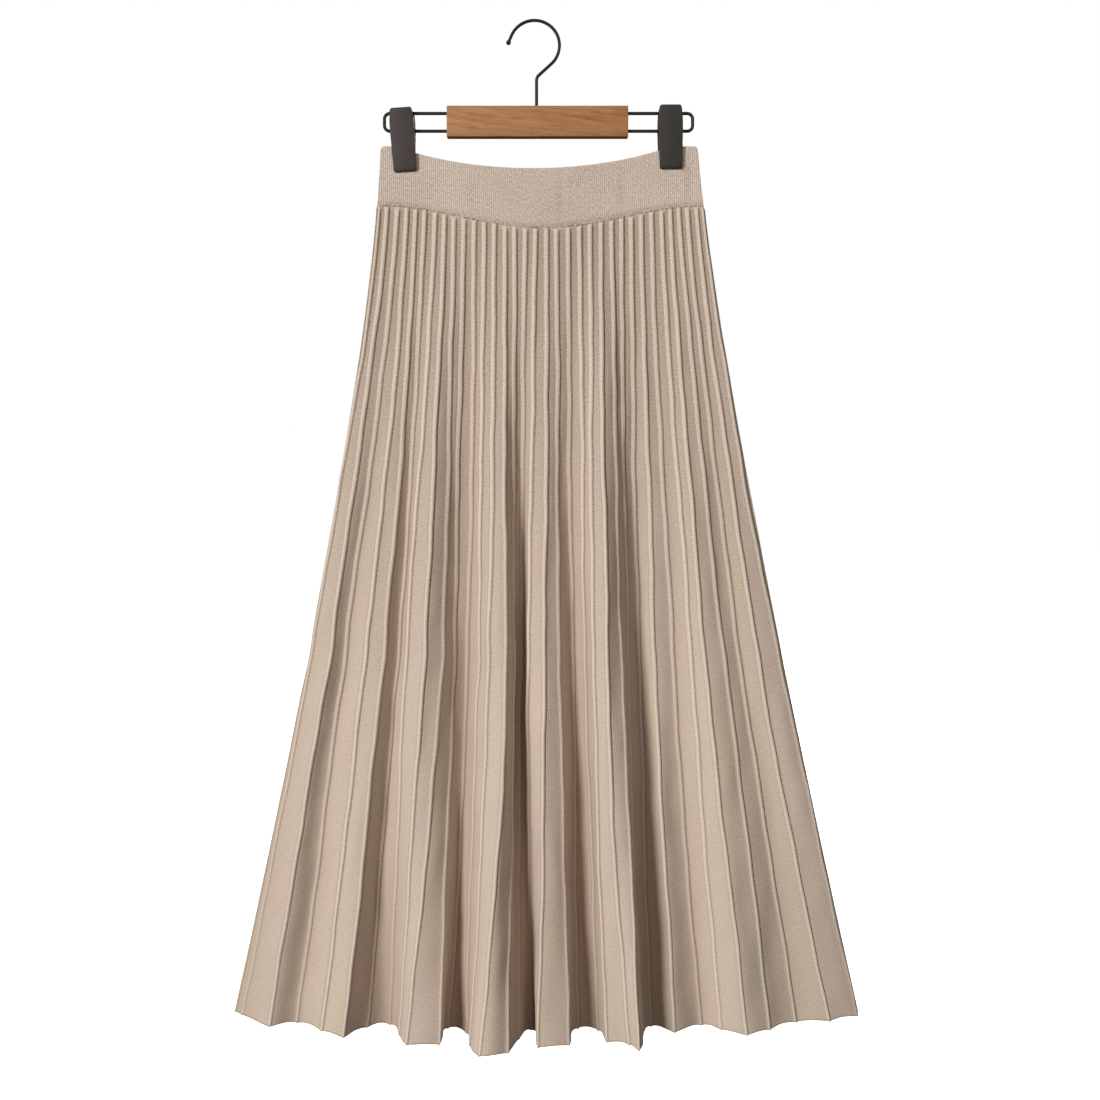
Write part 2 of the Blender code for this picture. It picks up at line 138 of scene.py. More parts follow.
def pleatedKnit(name, look):
    # fine viscose knit with pressed pleats: soft and matt, faint rows across, a little fuzz at the edges;
    # with painted highlights on the creases' raised lines and painted shade beside them, between the ribs and
    # deep in the folds
    mat, shader = newMaterial(name)
    uv = addNode(mat, "ShaderNodeUVMap", uv_map="cloth").outputs[0]
    labels = ("tint", "bead", "groove", "ground", "hollow")
    tint, bead, groove, ground, hollow = (attribute(mat, label) for label in labels)
    marl = noise(mat, turnAndScale(mat, uv, (1.0, 0.55, 1.0)), 700.0, 3.0, 0.7)
    yarns = ramp(mat, marl, (0.36, look["dark"]), (0.58, look["light"]))
    drift = reckon(mat, "ADD", noise(mat, uv, 9.0), tint)
    dye = ramp(mat, drift, (0.25, look["straw"]), (0.75, look["pink"]))
    dyed = mix(mat, 0.5, yarns, dye)
    # painted highlight along the raised line of each crease
    highlighted = mix(mat, reckon(mat, "MULTIPLY", bead, 0.55), dyed, colour(look["ridgeHighlight"]))
    flecks = noise(mat, uv, 480.0, 2.0, 0.8)
    broken = rerange(mat, flecks, 0.9, 0.5, 0.35, 0.65)
    # painted shade in the groove beside each crease and at the join with the band, and a darker line along
    # the hem, broken by flecks
    grooveShaded = mix(mat, reckon(mat, "MULTIPLY", groove, broken), highlighted, colour(look["crease"]))
    courses = ribs(mat, uv, "Y", look["courseMm"], 1.2, 2.0, 1.5)
    # painted shade in the recesses between the ribs, broken by the rows
    recessShadeShare = reckon(mat, "MULTIPLY", reckon(mat, "MULTIPLY", ground, 0.5), rerange(mat, courses, 0.5, 1.5))
    body = mix(mat, recessShadeShare, grooveShaded, colour(look["ground"]))
    # painted shade, tinted by light bounced from the cloth, deep between the folds
    foldShaded = mix(mat, reckon(mat, "MULTIPLY", hollow, 0.6), body, colour(look["inside"]))
    # the yarn's nubs show most where the ribs are close, towards the band
    down = addNode(mat, "ShaderNodeSeparateXYZ", {0: uv}).outputs[1]
    nubby = rerange(mat, down, 1.05, 0.3, 0.25, 0.7)
    nubs = reckon(mat, "MULTIPLY_ADD", reckon(mat, "SUBTRACT", flecks, 0.52), nubby, 1.0)
    level = reckon(mat, "MULTIPLY", nubs, rerange(mat, courses, 0.93, 1.06))
    stitched = addNode(mat, "ShaderNodeVectorMath", {0: foldShaded, "Scale": level}, operation="SCALE").outputs[0]
    rows = reckon(mat, "ADD", courses, ribs(mat, uv, "X", look["waleMm"], 0.8, 1.0))
    paint(mat, shader, stitched, reckon(mat, "ADD", rows, marl), 0.25, 0.3)
    shader.inputs["Roughness"].default_value = 0.9
    shader.inputs["Specular IOR Level"].default_value = 0.1
    shader.inputs["Sheen Weight"].default_value = 0.05
    shader.inputs["Sheen Roughness"].default_value = 0.5
    return mat


band = {
    "light": "e2d4c6", "dark": "85705e",
    "cloudLight": "d5c4b6", "cloudDark": "b9a699",
    "waleMm": 2.0,                              # real wales are 0.9 mm
}


def bandKnit(name, look):
    # firm double knit of two twisted yarns: close upright wales with a salt and pepper fleck
    mat, shader = newMaterial(name)
    uv = addNode(mat, "ShaderNodeUVMap", uv_map="cloth").outputs[0]
    fleck = noise(mat, turnAndScale(mat, uv, (1.0, 0.45, 1.0)), 900.0, 3.0, 0.75)
    yarns = ramp(mat, fleck, (0.34, look["dark"]), (0.6, look["light"]))
    drift = reckon(mat, "ADD", noise(mat, uv, 14.0), attribute(mat, "tint"))
    clouds = ramp(mat, drift, (0.2, look["cloudDark"]), (0.8, look["cloudLight"]))
    wales = ribs(mat, uv, "X", look["waleMm"], 0.6, 2.0)
    paint(mat, shader, mix(mat, 0.42, yarns, clouds), reckon(mat, "ADD", wales, fleck), 0.55, 0.4)
    shader.inputs["Roughness"].default_value = 0.92
    shader.inputs["Specular IOR Level"].default_value = 0.2
    shader.inputs["Sheen Weight"].default_value = 0.15
    return mat


def oiledBeech(name):
    # planed and oiled hardwood: fine lengthwise grain, darker streaks that slant a little, low sheen
    mat, shader = newMaterial(name)
    place = objectPlace(mat)
    turned = turnAndScale(mat, place, lean=-7)
    streaks = noise(mat, turnAndScale(mat, turned, (9.0, 60.0, 70.0)), 2.2, 4.0, 0.55, 0.9)
    rings = addNode(mat, "ShaderNodeTexWave", {"Vector": turnAndScale(mat, turned, (0.16, 1.0, 1.0)),
                    "Scale": 44.0, "Distortion": 5.0, "Detail": 2.0, "Detail Scale": 0.9},
                    bands_direction="Z", wave_profile="SAW").outputs[1]
    grown = reckon(mat, "ADD", streaks, reckon(mat, "MULTIPLY_ADD", rings, 0.16, -0.08))
    tone = ramp(mat, grown, (0.28, "986339"), (0.5, "a9764a"), (0.74, "b38356"))
    pores = noise(mat, turnAndScale(mat, place, (60.0, 400.0, 900.0), 2.5), 1.6, 2.0, 0.6)
    dark = ramp(mat, pores, (0.36, "8a5a34"), (0.46, "ffffff"))
    paint(mat, shader, mix(mat, 0.25, tone, dark, "MULTIPLY"), pores, 0.25, 0.2)
    shader.inputs["Roughness"].default_value = 0.6
    shader.inputs["Specular IOR Level"].default_value = 0.3
    return mat


def powderCoat(name):
    # black powder coat on steel wire: satin, with a faint orange peel
    mat, shader = newMaterial(name)
    peel = noise(mat, objectPlace(mat), 900.0)
    paint(mat, shader, ramp(mat, peel, (0.3, "211f1e"), (0.7, "272524")), peel, 0.04, 0.2)
    shader.inputs["Roughness"].default_value = 0.6
    shader.inputs["Specular IOR Level"].default_value = 0.3
    return mat


def mouldedAbs(name):
    # moulded ABS with a spark-eroded texture: dull, brown-grey, the clip on the right darker and less brown
    mat, shader = newMaterial(name)
    place = objectPlace(mat)
    clouds = ramp(mat, noise(mat, place, 45.0), (0.3, "3e3533"), (0.7, "463c3a"))
    across = addNode(mat, "ShaderNodeSeparateXYZ", {0: place}).outputs[0]
    batch = mix(mat, rerange(mat, across, 0.0, 1.0, -0.02, 0.02), clouds, colour("312e2b"))
    paint(mat, shader, batch, noise(mat, place, 1400.0, 3.0, 0.6), 0.3, 0.25)
    shader.inputs["Roughness"].default_value = 0.6
    shader.inputs["Specular IOR Level"].default_value = 0.3
    return mat


def springSteel(name):
    # drawn spring wire: bright grey metal with fine marks
    mat, shader = newMaterial(name)
    marks = noise(mat, objectPlace(mat), 1800.0)
    paint(mat, shader, ramp(mat, marks, (0.3, "8a8885"), (0.7, "b4b2ae")))
    shader.inputs["Metallic"].default_value = 1.0
    shader.inputs["Roughness"].default_value = 0.35
    return mat


pleatMaterial = pleatedKnit("pleatedViscoseKnit", knit)
bandMaterial = bandKnit("marledDoubleKnit", band)
woodMaterial = oiledBeech("oiledBeech")
wireMaterial = powderCoat("powderCoatedWire")
clipMaterial = mouldedAbs("mouldedAbs")
springMaterial = springSteel("drawnSpringSteel")
print("materials made")


def finishPiece(name, work, mat, node, sharpAngle=40.0):
    mesh = bpy.data.meshes.new(name)
    work.to_mesh(mesh)
    work.free()
    piece = bpy.data.objects.new(name, mesh)
    bpy.context.collection.objects.link(piece)
    mesh.materials.append(mat)
    mesh.polygons.foreach_set("use_smooth", [True] * len(mesh.polygons))
    mesh.set_sharp_from_angle(angle=math.radians(sharpAngle))
    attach(piece, "root")
    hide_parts(node)
    return piece


def bakeModifiers(piece, sharpAngle):
    # the piece's mesh becomes what its modifiers make of it
    view = bpy.context.evaluated_depsgraph_get()
    made = bpy.data.meshes.new_from_object(piece.evaluated_get(view), preserve_all_data_layers=True,
                                           depsgraph=view)
    piece.modifiers.clear()
    piece.data = made
    made.polygons.foreach_set("use_smooth", [True] * len(made.polygons))
    made.set_sharp_from_angle(angle=math.radians(sharpAngle))


def faceOutward(work, face):
    # the sheet's faces look to the side of Y on which it lies
    work.normal_update()
    if sum(f.normal.y for f in work.faces) * face < 0:
        bmesh.ops.reverse_faces(work, faces=work.faces)


def thicken(piece, thick):
    # an inner side to the sheet, nearer where the wall value of a point is under 1
    piece.vertex_groups.new(name="wall")
    skin = piece.modifiers.new("thick", "SOLIDIFY")
    skin.thickness, skin.offset, skin.vertex_group = thick * mm, -1.0, "wall"


def stretchOn(work, edges, shift):
    # carry an open ring of edges on by a straight length
    made = bmesh.ops.extrude_edge_only(work, edges=edges)["geom"]
    fresh = [g for g in made if isinstance(g, bmesh.types.BMVert)]
    bmesh.ops.translate(work, verts=fresh, vec=shift)
    return [g for g in made if isinstance(g, bmesh.types.BMEdge)]


def bendOn(work, edges, centre, axis, degrees, steps):
    # carry an open ring of edges on round a bend
    ring = list({v for e in edges for v in e.verts}) + list(edges)
    made = bmesh.ops.spin(work, geom=ring, cent=centre, axis=axis, dvec=(0, 0, 0),
                          angle=math.radians(degrees), steps=steps, use_duplicate=False)["geom_last"]
    return [g for g in made if isinstance(g, bmesh.types.BMEdge)]


def closeEnds(work):
    bmesh.ops.holes_fill(work, edges=[e for e in work.edges if e.is_boundary], sides=0)
    bmesh.ops.recalc_face_normals(work, faces=work.faces)


pleats = {
    # the seam under the band: its ends, and how far it dips and stands out towards its middle, mm
    "seamEnds": -183.9, "seamDip": 22.5, "dipMiddle": 8.5, "dipHalf": 161.0,
    "endsOut": 1.65, "belly": 5.0, "bellyMiddle": 2.0, "bellyHalf": 118.0,
    "hem": -989.9, "hemSag": 8.5,
    "sides": ((-157.2, -227.0, -299.5), (169.2, 248.0, 323.0)),      # across at the seam, middle and hem
    "middle": 0.565,                            # height of that middle, 0 at the seam and 1 at the hem
    "leftFlare": 1.27, "rightFlare": 1.165, "depthFlare": 1.55,
    "clearTop": 1.3, "clearHem": 5.5,           # least distance of a fold from the middle plane
    "easeFloor": 0.5,                           # mm over which it eases against that
    "rows": 84, "wall": 0.9, "outward": 0.3,
    # mm from a crease, bead height and share of the painted shade in the groove beside it, for the columns of
    # each panel; where the first is None, the second is a share of the flat part
    "columns": ((0.0, 1.0, 0.0), (1.15, 0.9, 0.0), (2.1, 0.55, 0.15), (2.7, -0.05, 0.7),
                (3.3, -0.3, 1.0), (4.1, 0.0, 0.3), (None, 0.12, 0.0), (None, 0.3, 0.0),
                (None, 0.5, 0.0), (None, 0.7, 0.0), (None, 0.88, 0.0),
                (-3.1, -0.08, 0.35), (-2.4, 0.5, 0.1), (-1.3, 0.9, 0.0)),
    "start": 4.1, "end": 3.1,                   # mm from its creases to a panel's flat part
    "beadTop": 1.35, "beadHem": 0.85,           # height of the raised line on each crease
    "narrowHem": 0.62,                          # its width at the hem over that at the seam
    "narrowPanel": 9.5,                         # and it narrows on panels under this width
    "beadStarts": 2.6, "beadRise": 3.0,         # mm below the band where it begins, and over which it rises
    "blend": 1.3,                               # mm from a crease in which the panels' directions blend
    "waves": ((1.7, 0.5), (4.1, 0.3), (9.3, 0.22), (17.0, 0.1)),     # down a crease, with their shares
    "sway": 1.3, "heave": 1.0,                  # how far a crease wanders, across and out
    "ripple": 1.6, "rippleWidth": 30.0,         # slow unevenness of the panels, less on narrower ones
    "scallop": 1.6, "scallopWidth": 22.0,       # rise of the hem between folds, less on narrower panels
    "crisp": 0.35, "round": 0.6,                # how much a fold is rounded, towards and away from the eye
    "hollowPleats": 2.5, "hollowOut": 16.0,     # a fold this far behind its neighbours gets the full painted shade
}
# creases of the front, left to right: mm across at the seam, then mm across and mm out from the
# middle plane, at the middle and at the hem
creases = (
    (-155.2, -225, 3, -290, 4), (-147.4, -205, 14, -259, 27), (-136.8, -190, 6, -234, 16),
    (-127.4, -168, 15, -207, 30), (-118.5, -150, 17, -184, 42), (-109.7, -137, 5, -165, 20),
    (-99, -127, 20, -143, 13), (-89.7, -109, 30, -131, 34), (-80.5, -92, 22, -122.5, 53),
    (-70.5, -81, 10, -90.5, 50), (-60, -67, 5, -85, 17), (-50, -56, 20, -67, 27),
    (-39.9, -45, 35, -62, 50), (-29.4, -28, 42, -51, 71), (-19.9, -21, 24, -24, 65),
    (-9.2, -14, 7, -15.5, 38), (1.1, -6, 22, -4, 20), (12, 10, 33, 4, 54),
    (21.7, 25, 24, 35, 49), (33.4, 38, 8, 43, 16), (44.9, 51, 18, 63, 21),
    (55.3, 58, 34, 71, 45), (66.3, 71, 44, 91, 51), (76.7, 86, 34, 101, 62),
    (86.8, 92, 17, 105, 34), (96.3, 104, 6, 115.5, 14), (106.5, 119.5, 14, 137, 28),
    (116.5, 138, 9, 164, 14), (126.7, 155.5, 14, 182, 24), (135.4, 169, 21, 206, 37),
    (143.9, 189, 15, 231, 27), (152.2, 205, 8, 258, 15), (161.8, 223, 10, 290, 16),
    (167.6, 244.5, 6, 321.5, 8),
)
softCreases = {1: 0.5, 4: 0.4, 13: 0.9, 22: 0.8, 29: 0.7}       # these open into a round fold at the hem
packFold = {"height": -636.0, "tall": 24.0, "right": 60.0, "width": 220.0, "shift": 1.6}


def seamLine(x):
    reach = np.minimum(1.0, np.abs(x - pleats["dipMiddle"]) / pleats["dipHalf"])
    return pleats["seamEnds"] - pleats["seamDip"] * np.cos(math.pi / 2 * reach) ** 2


def standOff(x):
    reach = np.minimum(1.0, np.abs(x - pleats["bellyMiddle"]) / pleats["bellyHalf"])
    return pleats["belly"] * np.cos(math.pi / 2 * reach) ** 2


def follow(top, mid, hem, t, flare):
    # a crease eases down through its places at the seam, the middle and the hem, without overshoot
    knee, down = pleats["middle"] ** flare, t ** flare
    upper, lower = (mid - top) / knee, (hem - mid) / (1 - knee)
    slope = 2 * upper * lower / (upper + lower) if upper * lower > 0 else 0.0
    high = down < knee
    a, b = np.where(high, top, mid), np.where(high, mid, hem)
    da = np.where(high, 1.5 * upper - 0.5 * slope, slope)
    db = np.where(high, slope, 1.5 * lower - 0.5 * slope)
    reach = np.where(high, knee, 1 - knee)
    u = (down - np.where(high, 0.0, knee)) / reach
    return a + (b - a) * u * u * (3 - 2 * u) + reach * u * (1 - u) * (da * (1 - u) - db * u)


def backCreases():
    # the back hangs like the front turned round, its folds a little deeper and shallower by turns
    across = [low + high for low, high in zip(*pleats["sides"])]
    rows = []
    for k, (top, mid, midOut, hem, hemOut) in enumerate(reversed(creases)):
        depth = 0.94 + 0.1 * math.sin(0.7 * k)
        rows.append((across[0] - top, across[1] - mid, midOut * depth, across[2] - hem, hemOut * depth))
    return rows


def wander(seed, t, size):
    # slow unevenness down one crease
    chance = np.random.default_rng(seed)
    total = np.zeros_like(t)
    for waves, share in pleats["waves"]:
        total += share * np.sin(2 * math.pi * (waves * t + chance.random()))
    return size * total * np.minimum(1.0, t * 6)


def pressMark(x, z):
    # the faint crossways fold left by packing
    share = np.clip((packFold["right"] - x) / packFold["width"], 0.0, 1.0)
    return packFold["shift"] * share * np.exp(-((z - packFold["height"]) / packFold["tall"]) ** 2)


def creaseLines(rows, t, seed):
    flares = np.linspace(pleats["leftFlare"], pleats["rightFlare"], len(rows) + 2)
    clear = pleats["clearTop"] + (pleats["clearHem"] - pleats["clearTop"]) * t
    left, right = (follow(*side, t, flare) for side, flare in zip(pleats["sides"], (flares[0], flares[-1])))
    xs, outs = [left], [np.zeros_like(t)]
    for k, (top, mid, midOut, hem, hemOut) in enumerate(rows):
        xs.append(follow(top, mid, hem, t, flares[k + 1]) + wander(seed + k, t, pleats["sway"]))
        depth = follow(pleats["endsOut"] + standOff(top), midOut, hemOut, t, pleats["depthFlare"])
        outs.append(depth + wander(seed + 100 + k, t, pleats["heave"]))
    xs, outs = np.array(xs + [right]), np.array(outs + [np.zeros_like(t)])
    ease = pleats["easeFloor"]
    outs = clear + ease * np.logaddexp(0.0, (outs - clear) / ease)
    outs[0] = outs[-1] = 0.03                   # the side seams close
    return xs, outs


def unit(v):
    return v / np.linalg.norm(v, axis=-1)[..., None]


def bendPanel(start, end, leaving, arriving, u):
    # place and direction at share u of a panel that leaves and arrives along the given directions
    u = u[:, None]
    span = np.linalg.norm(end - start, axis=-1)[:, None]
    place = (start * (2 * u ** 3 - 3 * u ** 2 + 1) + end * (3 * u ** 2 - 2 * u ** 3)
             + span * (leaving * (u ** 3 - 2 * u ** 2 + u) + arriving * (u ** 3 - u ** 2)))
    heading = ((end - start) * (6 * u - 6 * u ** 2)
               + span * (leaving * (3 * u ** 2 - 4 * u + 1) + arriving * (3 * u ** 2 - 2 * u)))
    return place, unit(heading)


def panelEnds(corners, t, soft):
    # directions in which each panel leaves one crease and arrives at the next: folds towards the
    # eye stay crisp, folds away from it open into a round floor towards the hem
    ahead = unit(np.diff(corners, axis=0))
    leaving, arriving = ahead.copy(), ahead.copy()
    for k in range(1, len(ahead)):
        turn = np.cross(ahead[k - 1], ahead[k])
        ease = pleats["crisp"] * np.clip(t / 0.5, 0.2, 1)
        ease = ease + pleats["round"] * np.clip(-1.4 * turn, 0, 1) * np.clip(t / 0.35, 0, 1)
        ease = np.maximum(ease, soft.get(k - 1, 0.0) * t)[:, None]
        shared = unit(ahead[k - 1] + ahead[k])
        arriving[k - 1] = unit(ahead[k - 1] + ease * (shared - ahead[k - 1]))
        leaving[k] = unit(ahead[k] + ease * (shared - ahead[k]))
    return leaving, arriving


def outwardOf(heading):
    return np.stack([heading[..., 1], -heading[..., 0]], -1)


def bodyColumns(rows, face, seed):
    # the cloth column by column, left to right: places in metres, and what each place looks like
    count = len(rows) + 1
    t = np.concatenate([[0.0, 0.0009, 0.0024, 0.0045], np.linspace(0.008, 0.9975, pleats["rows"] - 5), [1.0]])
    xs, outs = creaseLines(rows, t, seed)
    corners = np.stack([xs, -outs], -1)         # crease, row, (x, y)
    length = np.linalg.norm(np.diff(corners, axis=0), axis=-1)
    leaving, arriving = panelEnds(corners, t, softCreases if face < 0 else {})
    chance = np.random.default_rng(seed)
    shades = 0.16 * (np.arange(count) % 2 - 0.5) + chance.uniform(-0.18, 0.18, count)
    starts = np.concatenate([[0.0], np.cumsum(length.mean(axis=1))])
    # how far each crease lies behind its neighbours, for the painted shade deep in the folds
    near = (np.arange(count + 1)[:, None] - np.arange(count + 1)) / pleats["hollowPleats"]
    spread = np.exp(-near ** 2)
    behind = spread @ outs / spread.sum(axis=1)[:, None] - outs
    hollow = np.clip(behind / pleats["hollowOut"], 0, 1)
    topZ = seamLine(xs[:, 0]) + 0.05
    reach = (2 * xs[:, -1] - xs[0, -1] - xs[-1, -1]) / (xs[-1, -1] - xs[0, -1])
    hemZ = pleats["hem"] - pleats["hemSag"] * (1 - reach ** 2)
    beadWidth = 1.0 + (pleats["narrowHem"] - 1.0) * t
    fallen = t * (pleats["seamEnds"] - pleats["hem"])
    begins = chance.uniform(0.0, pleats["beadStarts"], count + 1)     # the creases start unevenly
    press = chance.uniform(0.55, 1.15, count + 1)                    # unequally pressed at the hem
    places, looks = [], []
    for p in range(count):
        size = beadWidth * np.minimum(1.0, length[p] / pleats["narrowPanel"])
        swell = wander(seed + 200 + p, t, pleats["ripple"])
        swell = swell * np.minimum(1.0, length[p] / pleats["rippleWidth"])
        tilt = wander(seed + 300 + p, t, 0.3)
        arched = pleats["scallop"] * np.minimum(1.0, length[p] / pleats["scallopWidth"])
        before, after = outwardOf(arriving[max(0, p - 1)]), outwardOf(leaving[min(count - 1, p + 1)])
        turnNear = np.abs(np.cross(arriving[p - 1], leaving[p])) if p else np.zeros_like(t)
        turnFar = np.abs(np.cross(arriving[p], leaving[p + 1])) if p < count - 1 else np.zeros_like(t)
        columns = pleats["columns"] if p < count - 1 else pleats["columns"] + ((0.0, 1.0, 0.0),)
        for c, (offset, lift, grooveShadeShare) in enumerate(columns):
            last = c == len(pleats["columns"])
            rib = p if offset is not None and offset >= 0 and not last else p + 1
            if last:
                along = length[p]
            elif offset is None:
                flat = length[p] - (pleats["start"] + pleats["end"]) * size
                along = pleats["start"] * size + flat * lift
                lift = 0.0
            else:
                along = offset * size if offset >= 0 else length[p] + offset * size
            share = along / length[p]
            place, heading = bendPanel(corners[p], corners[p + 1], leaving[p], arriving[p], share)
            toNear = np.exp(-(along / pleats["blend"]) ** 2)[:, None]
            toFar = np.exp(-((length[p] - along) / pleats["blend"]) ** 2)[:, None]
            normal = unit(outwardOf(heading) + toNear * before + toFar * after)
            edge = (p == 0 and c == 0) or last
            begun = np.sqrt(np.clip((fallen - begins[rib]) / pleats["beadRise"], 0.0, 1.0))
            beadHeight = pleats["beadTop"] + (pleats["beadHem"] * press[rib] - pleats["beadTop"]) * t ** 0.8
            height = 0.0 if edge else pleats["outward"] + lift * beadHeight * begun
            bow = np.sin(math.pi * np.clip(share + tilt * share * (1 - share), 0, 1)) ** 2
            height = height + (0.0 if edge else 1.0) * swell * bow
            place = place + normal * (height * np.ones_like(t))[:, None]
            x, y = place[:, 0], place[:, 1]
            top = topZ[p] + (topZ[p + 1] - topZ[p]) * share
            arch = arched * np.sin(math.pi * share) * t ** 3
            z = top + (hemZ[p] + (hemZ[p + 1] - hemZ[p]) * share - top) * t + arch
            x = x + pressMark(x, z)
            # the wall thins where two panels meet sharply, so that its inner side doesn't cross itself
            roomNear = 0.2 + along * (1.15 - 0.9 * turnNear)
            roomFar = 0.2 + (length[p] - along) * (1.15 - 0.9 * turnFar)
            wall = np.clip(np.minimum(roomNear, roomFar) / pleats["wall"], 0.15, 1.0) * (0.2 if edge else 1.0)
            raised = 0.0 if edge else max(0.0, lift)
            joinShadeAndHemLine = np.where(fallen < 1.2, chance.uniform(0.0, 1.5), 0.0)      # painted shade, uneven, at the bumpy join with the band
            joinShadeAndHemLine = np.where(t == 1.0, 0.7, joinShadeAndHemLine)                             # and a darker line along the hem edge
            # painted shade in the groove beside each crease
            line = (0.0 if p == count - 1 else grooveShadeShare) * begun * (1.1 + (0.9 * press[rib] - 1.1) * t)
            # painted shade in the recesses between the ribs, fading out by the middle
            recessShadeShare = (1 - raised) * begun * np.clip(1 - t / 0.6, 0, 1)
            places.append(np.stack([x, -face * y, z], -1) * mm)
            looks.append(np.stack([starts[p] + along, raised * begun, np.maximum(line, joinShadeAndHemLine),
                                   np.full_like(t, shades[p]), recessShadeShare,
                                   hollow[p] + (hollow[p + 1] - hollow[p]) * share, wall], -1))
    return np.array(places), np.array(looks), length


def buildBody(name, node, rows, face, seed):
    places, looks, length = bodyColumns(rows, face, seed)
    across, down = places.shape[0] - 1, places.shape[1] - 1
    work = bmesh.new()
    bmesh.ops.create_grid(work, x_segments=across, y_segments=down, size=0.5)
    uv = work.loops.layers.uv.new("cloth")
    labels = ("bead", "groove", "tint", "ground", "hollow")
    layers = [work.verts.layers.float.new(label) for label in labels]
    walls = work.verts.layers.deform.verify()
    spot = {}
    for v in work.verts:
        i, j = round((v.co.x + 0.5) * across), round((0.5 - v.co.y) * down)
        spot[v.index] = (i, j)
        v.co = places[i, j]
        for layer, value in zip(layers, looks[i, j, 1:6]):
            v[layer] = value
        v[walls][0] = looks[i, j, 6]
    for f in work.faces:
        for corner in f.loops:
            i, j = spot[corner.vert.index]
            corner[uv].uv = (looks[i, j, 0] * mm, -places[i, j, 2])
    faceOutward(work, face)
    piece = finishPiece(name, work, pleatMaterial, node, sharpAngle=75.0)
    thicken(piece, pleats["wall"])
    bakeModifiers(piece, 75.0)
    print(name, len(piece.data.polygons), "faces, flat widths in mm:",
          length[:, 0].sum().round(), length[:, -1].sum().round())
    return piece


pleatedFront = buildBody("pleatedFront", "skirt_front", creases, -1, 11)
pleatedBack = buildBody("pleatedBack", "skirt_back", backCreases(), 1, 57)
print("pleated body made")


waist = {
    "leftTop": -153.5, "leftSeam": -157.0, "rightTop": 162.8, "rightSeam": 169.0,
    "ends": -124.9, "dip": 22.8, "dipMiddle": -1.5, "dipHalf": 139.0,
    "thick": 3.0, "columns": 200, "rows": 26,
    "cornerRound": 3.0, "cornerDrop": 2.6,
    # place across, width and depth
    "puckers": ((26.0, 3.0, 0.45), (155.0, 4.0, 0.6), (-60.0, 6.0, 0.3), (88.0, 4.0, 0.4)),
    "slants": ((38.5, 2.0), (46.0, 2.4)), "slantZ": -161.0, "slantDepth": 0.55,
    "tackX": -109.0, "tackZ": -144.0,           # the tack mark beside the left clip
    "join": 1.4, "joinTall": 2.4,               # how far the join draws the lower edge in
    "rolled": 0.7,
}


def bandTop(x):
    reach = (x - waist["dipMiddle"]) / waist["dipHalf"]
    return waist["ends"] - waist["dip"] * np.maximum(0.0, 1 - reach * reach)


def puckerAt(x, z, fall):
    # faint upright puckers, and two small slanting ones in the middle
    pucker = 0.0
    for place, width, depth in waist["puckers"]:
        pucker += depth * math.exp(-((x - place) / width) ** 2) * math.sin(math.pi * fall)
    above = z - waist["slantZ"]
    for place, width in waist["slants"]:
        beside = (x - place - 0.5 * above) / width
        pucker += waist["slantDepth"] * math.exp(-beside ** 2 - (above / 7.0) ** 2)
    return pucker


def buildBand(name, node, face, seed):
    chance = np.random.default_rng(seed)
    work = bmesh.new()
    bmesh.ops.create_grid(work, x_segments=waist["columns"], y_segments=waist["rows"], size=0.5)
    uv = work.loops.layers.uv.new("cloth")
    tint = work.verts.layers.float.new("tint")
    walls = work.verts.layers.deform.verify()
    for v in work.verts:
        part, fall = v.co.x + 0.5, 0.5 - v.co.y
        topX = waist["leftTop"] + (waist["rightTop"] - waist["leftTop"]) * part
        seamX = waist["leftSeam"] + (waist["rightSeam"] - waist["leftSeam"]) * part
        x = topX + (seamX - topX) * fall
        high, low = float(bandTop(topX)), float(seamLine(seamX))
        z = high + (low - high) * (1 - (1 - fall) ** 1.25)
        edge = min(part, 1 - part) * (waist["rightTop"] - waist["leftTop"])
        z -= waist["cornerDrop"] * max(0.0, 1 - edge / waist["cornerRound"]) ** 2 * max(0.0, 1 - fall * 12)
        pucker = puckerAt(x, z, fall)
        beside, above = x - waist["tackX"], z - waist["tackZ"]
        tack = math.exp(-(beside / 5.0) ** 2 - (above / 4.0) ** 2) * (0.5 + 0.5 * math.cos(1.9 * beside))
        # the join draws the lower edge in, unevenly, and its stitches show light and dark
        near = math.exp(-((z - low) / waist["joinTall"]) ** 2)
        pull = (waist["join"] + chance.uniform(-0.5, 0.5)) * near
        z += chance.uniform(-0.8, 0.4) if fall == 1 else 0.0
        y = 0.02 + float(standOff(topX)) + waist["thick"] - pucker - 0.5 * tack - pull
        v.co = Vector((x, face * y, z)) * mm
        # the puckers are painted darker, as shade in their hollows
        v[tint] = 0.14 - 0.6 * pucker + 0.5 * tack + chance.uniform(-0.5, 0.4) * near
        v[walls][0] = 1 - pull / waist["thick"]
    for f in work.faces:
        for corner in f.loops:
            corner[uv].uv = (corner.vert.co.x, corner.vert.co.z)
    faceOutward(work, face)
    piece = finishPiece(name, work, bandMaterial, node)
    thicken(piece, waist["thick"])
    soften = piece.modifiers.new("rolled edge", "BEVEL")
    soften.width, soften.segments = waist["rolled"] * mm, 3
    soften.limit_method, soften.angle_limit = "ANGLE", math.radians(60)
    bakeModifiers(piece, 60.0)
    return piece


bandFront = buildBand("bandFront", "waistband_front", -1, 3)
bandBack = buildBand("bandBack", "waistband_back", 1, 4)
print("waistband made")


hook = {
    "wire": 1.6, "ball": 2.5, "ballOut": 2.1,   # the ball's middle lies this far past the bent wire's end
    "stemX": 2.1, "stemLow": -103.0, "stemHigh": -58.4,
    "bend": 7.0, "bendTurn": 47.5,
    "radius": 25.0, "centreZ": -23.4, "turn": 204.5,
    "tipReach": 7.55,
}


